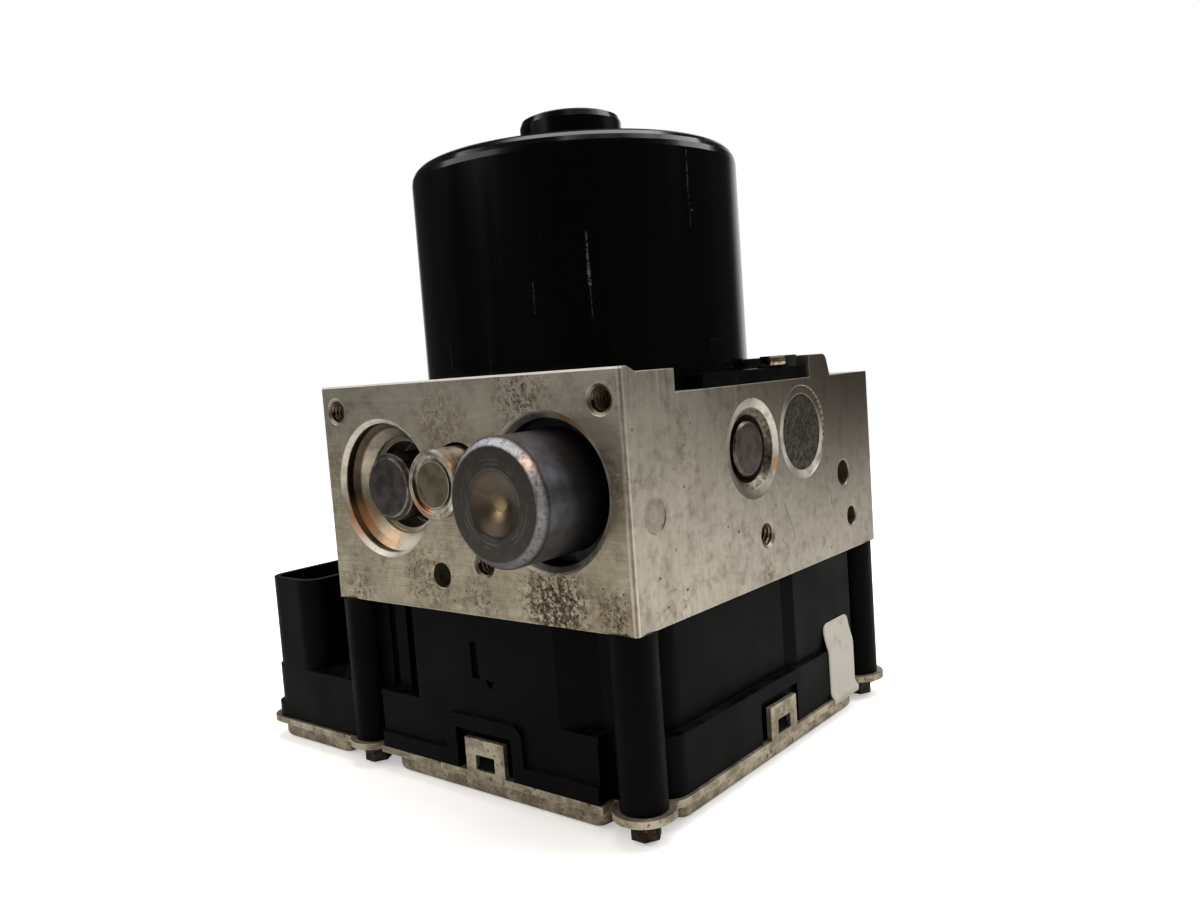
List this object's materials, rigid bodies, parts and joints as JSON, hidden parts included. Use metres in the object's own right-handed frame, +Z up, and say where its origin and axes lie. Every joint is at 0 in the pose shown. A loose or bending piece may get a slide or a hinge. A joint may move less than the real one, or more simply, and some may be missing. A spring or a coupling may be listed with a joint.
{
  "type": "abs brake module",
  "caption": "Anti-lock brake unit: a drilled aluminium valve block with a round pump motor on top and a moulded control unit with an open connector below.",
  "frame": {"origin": "where the motor's axis meets the underside of the cover", "axes": "+X to the right along the face with the accumulators, +Y to the back, +Z up along the motor's axis"},
  "size_m": [0.1324, 0.1252, 0.1561],
  "materials": {
    "machined_aluminium": "milled, oxidised",
    "phosphated_steel": "satin phosphate",
    "blackened_steel": "satin black",
    "nickel_plate": "satin nickel plate",
    "plug_steel": "turned",
    "mottled_plug": "rough, mottled",
    "black_enamel": "gloss black paint",
    "black_screw": "black",
    "tab_steel": "bent sheet",
    "spring_steel": "drawn",
    "ground_steel": "ground",
    "valve_steel": "turned",
    "core_steel": "laminated",
    "copper": "enamelled wire",
    "ferrite": "matt",
    "carbon": "matt",
    "anodised_aluminium": "anodised",
    "sintered_bronze": "sintered",
    "moulded_nylon": "matt",
    "glass_epoxy": "coated",
    "black_moulding": "fine grain",
    "seal_rubber": "matt",
    "tinned_copper": "tinned",
    "cover_aluminium": "pressed sheet, corroded",
    "corroded_screw": "corroded"
  },
  "bodies": {
    "unit": {"hydraulic_block": "machined_aluminium", "accumulator_cup": "phosphated_steel", "cup_snap_ring": "spring_steel", "accumulator_post": "blackened_steel", "accumulator_spring_right": "spring_steel", "accumulator_spring_left": "spring_steel", "middle_plug": "nickel_plate", "side_plug": "mottled_plug", "magnets": "ferrite", "motor_can": "black_enamel", "motor_flange": "black_enamel", "motor_screws": "black_screw", "earth_tab": "tab_steel", "lower_bearing": "ground_steel", "shaft_end_bush": "sintered_bronze", "top_bush": "sintered_bronze", "brush_holder": "moulded_nylon", "brush_springs": "spring_steel", "valve_bodies": "valve_steel", "valve_springs": "spring_steel", "coil_bobbins": "moulded_nylon", "solenoid_coils": "copper", "coil_yokes": "core_steel", "coil_pins": "tinned_copper", "motor_feed": "moulded_nylon", "motor_pins": "tinned_copper", "ecu_housing": "black_moulding", "housing_seal": "seal_rubber", "connector_contacts": "tinned_copper", "supply_blades": "tinned_copper", "circuit_board": "glass_epoxy", "cover_pan": "cover_aluminium", "housing_screws": "corroded_screw", "pump_plug_left": "plug_steel", "pump_sleeve_left": "valve_steel", "pump_spring_left": "spring_steel", "pump_plug_right": "plug_steel", "pump_sleeve_right": "valve_steel", "pump_spring_right": "spring_steel"},
    "rotor": {"rotor_shaft": "ground_steel", "rotor_core": "core_steel", "rotor_windings": "copper", "commutator": "copper"},
    "bearing_ring": {"eccentric_bearing": "ground_steel"},
    "pump_piston_left_body": {"pump_piston_left": "ground_steel"},
    "pump_piston_right_body": {"pump_piston_right": "ground_steel"},
    "accumulator_piston_left_body": {"accumulator_piston_left": "anodised_aluminium"},
    "accumulator_piston_right_body": {"accumulator_piston_right": "anodised_aluminium"},
    "brush_left_body": {"brush_left": "carbon"},
    "brush_right_body": {"brush_right": "carbon"},
    "inlet_plunger_1_body": {"inlet_plunger_1": "valve_steel"},
    "outlet_plunger_1_body": {"outlet_plunger_1": "valve_steel"},
    "inlet_plunger_2_body": {"inlet_plunger_2": "valve_steel"},
    "outlet_plunger_2_body": {"outlet_plunger_2": "valve_steel"},
    "inlet_plunger_3_body": {"inlet_plunger_3": "valve_steel"},
    "outlet_plunger_3_body": {"outlet_plunger_3": "valve_steel"},
    "inlet_plunger_4_body": {"inlet_plunger_4": "valve_steel"},
    "outlet_plunger_4_body": {"outlet_plunger_4": "valve_steel"}
  },
  "joints": [
    {"name": "rotor_spin", "type": "hinge", "parent": "unit", "child": "rotor", "pos_m": [0, 0, 0.0739], "axis": [0, 0, 1], "continuous": true},
    {"name": "eccentric_ring_spin", "type": "hinge", "parent": "rotor", "child": "bearing_ring", "pos_m": [0, 0.0012, 0.0739], "axis": [0, 0, 1], "continuous": true},
    {"name": "pump_stroke_left", "type": "slide", "parent": "unit", "child": "pump_piston_left_body", "axis": [-1, 0, 0], "range_m": [0, 0.0024], "stiffness_N_per_m": 2000, "springref_m": -0.004, "deforming": ["pump_spring_left"]},
    {"name": "pump_stroke_right", "type": "slide", "parent": "unit", "child": "pump_piston_right_body", "axis": [1, 0, 0], "range_m": [0, 0.0024], "stiffness_N_per_m": 2000, "springref_m": -0.004, "deforming": ["pump_spring_right"]},
    {"name": "accumulator_stroke_left", "type": "slide", "parent": "unit", "child": "accumulator_piston_left_body", "axis": [0, -1, 0], "range_m": [0, 0.005], "stiffness_N_per_m": 1000, "springref_m": -0.006, "deforming": ["accumulator_spring_left"]},
    {"name": "accumulator_stroke_right", "type": "slide", "parent": "unit", "child": "accumulator_piston_right_body", "axis": [0, -1, 0], "range_m": [0, 0.009], "stiffness_N_per_m": 1000, "springref_m": -0.006, "deforming": ["accumulator_spring_right"]},
    {"name": "brush_slide_left", "type": "slide", "parent": "unit", "child": "brush_left_body", "axis": [-1, 0, 0], "range_m": [0, 0.003], "stiffness_N_per_m": 200, "springref_m": -0.008, "deforming": ["brush_springs"]},
    {"name": "brush_slide_right", "type": "slide", "parent": "unit", "child": "brush_right_body", "axis": [1, 0, 0], "range_m": [0, 0.003], "stiffness_N_per_m": 200, "springref_m": -0.008, "deforming": ["brush_springs"]},
    {"name": "inlet_valve_1", "type": "slide", "parent": "unit", "child": "inlet_plunger_1_body", "axis": [0, 0, 1], "range_m": [0, 0.00035], "stiffness_N_per_m": 800, "springref_m": -0.003, "deforming": ["valve_springs"]},
    {"name": "outlet_valve_1", "type": "slide", "parent": "unit", "child": "outlet_plunger_1_body", "axis": [0, 0, 1], "range_m": [-0.00035, 0], "stiffness_N_per_m": 800, "springref_m": 0.003, "deforming": ["valve_springs"]},
    {"name": "inlet_valve_2", "type": "slide", "parent": "unit", "child": "inlet_plunger_2_body", "axis": [0, 0, 1], "range_m": [0, 0.00035], "stiffness_N_per_m": 800, "springref_m": -0.003, "deforming": ["valve_springs"]},
    {"name": "outlet_valve_2", "type": "slide", "parent": "unit", "child": "outlet_plunger_2_body", "axis": [0, 0, 1], "range_m": [-0.00035, 0], "stiffness_N_per_m": 800, "springref_m": 0.003, "deforming": ["valve_springs"]},
    {"name": "inlet_valve_3", "type": "slide", "parent": "unit", "child": "inlet_plunger_3_body", "axis": [0, 0, 1], "range_m": [0, 0.00035], "stiffness_N_per_m": 800, "springref_m": -0.003, "deforming": ["valve_springs"]},
    {"name": "outlet_valve_3", "type": "slide", "parent": "unit", "child": "outlet_plunger_3_body", "axis": [0, 0, 1], "range_m": [-0.00035, 0], "stiffness_N_per_m": 800, "springref_m": 0.003, "deforming": ["valve_springs"]},
    {"name": "inlet_valve_4", "type": "slide", "parent": "unit", "child": "inlet_plunger_4_body", "axis": [0, 0, 1], "range_m": [0, 0.00035], "stiffness_N_per_m": 800, "springref_m": -0.003, "deforming": ["valve_springs"]},
    {"name": "outlet_valve_4", "type": "slide", "parent": "unit", "child": "outlet_plunger_4_body", "axis": [0, 0, 1], "range_m": [-0.00035, 0], "stiffness_N_per_m": 800, "springref_m": 0.003, "deforming": ["valve_springs"]}
  ]
}
